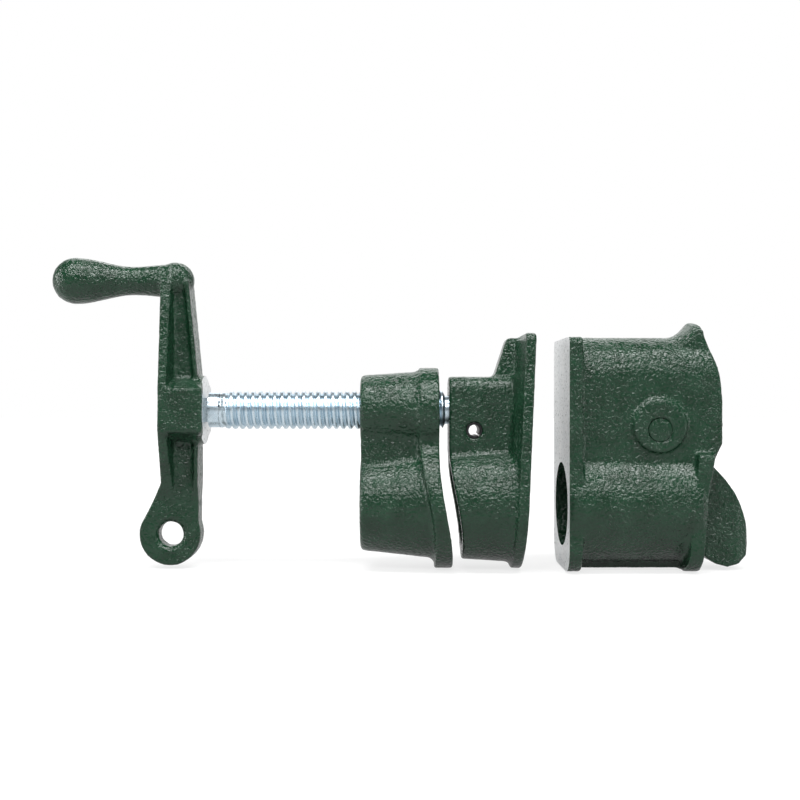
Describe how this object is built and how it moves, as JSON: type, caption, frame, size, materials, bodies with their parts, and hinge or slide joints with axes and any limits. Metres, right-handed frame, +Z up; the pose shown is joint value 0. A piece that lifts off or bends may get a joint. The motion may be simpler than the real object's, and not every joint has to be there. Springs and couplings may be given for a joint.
{
  "type": "woodworking pipe clamp",
  "caption": "Screw-driven pipe clamp set: threaded head with crank and sliding jaw, and a sliding tail stop held by a toothed cam on a lever. The pipe is left out.",
  "frame": {"origin": "on the pipe axis, in the plane of the upper part of the head's face", "axes": "+X along the pipe from the crank to the tail, +Z up towards the jaws, Y across; the plane Y = 0 is the plane of symmetry of the castings"},
  "size_m": [0.2305, 0.043, 0.103],
  "materials": {
    "green_paint": "glossy dark green enamel over rough cast iron",
    "zinc_plate": "bright blue zinc plate on rolled thread",
    "spring_steel": "oiled spring steel"
  },
  "bodies": {
    "head": {"head_casting": "green_paint"},
    "jaw": {"jaw_casting": "green_paint", "jaw_roll_pin": "spring_steel"},
    "screw": {"screw": "zinc_plate", "crank_handle": "green_paint"},
    "tail": {"tail_casting": "green_paint", "lever_pivot_pin": "green_paint", "lever_spring": "spring_steel"},
    "lever": {"cam_lever": "green_paint"}
  },
  "joints": [
    {"name": "jaw_slide", "type": "slide", "parent": "head", "child": "jaw", "axis": [1, 0, 0], "range_m": [-0.0028, 0.0465]},
    {"name": "screw_turn", "type": "hinge", "parent": "jaw", "child": "screw", "pos_m": [-0.05, 0, 0.0312], "axis": [1, 0, 0], "range_deg": [-405, 6960]},
    {"name": "tail_slide", "type": "slide", "parent": "jaw", "child": "tail", "axis": [1, 0, 0], "range_m": [-0.01, 0.2]},
    {"name": "lever_turn", "type": "hinge", "parent": "tail", "child": "lever", "pos_m": [0.0707, 0, 0.0249], "axis": [0, -1, 0], "range_deg": [0, 72], "stiffness_Nm_per_rad": 0.05, "springref_deg": -34.38, "deforming": ["lever_spring"]}
  ],
  "couplings": [
    {"joint": "jaw_slide", "follows": "screw_turn", "m_per_rad": 0.00038197}
  ]
}
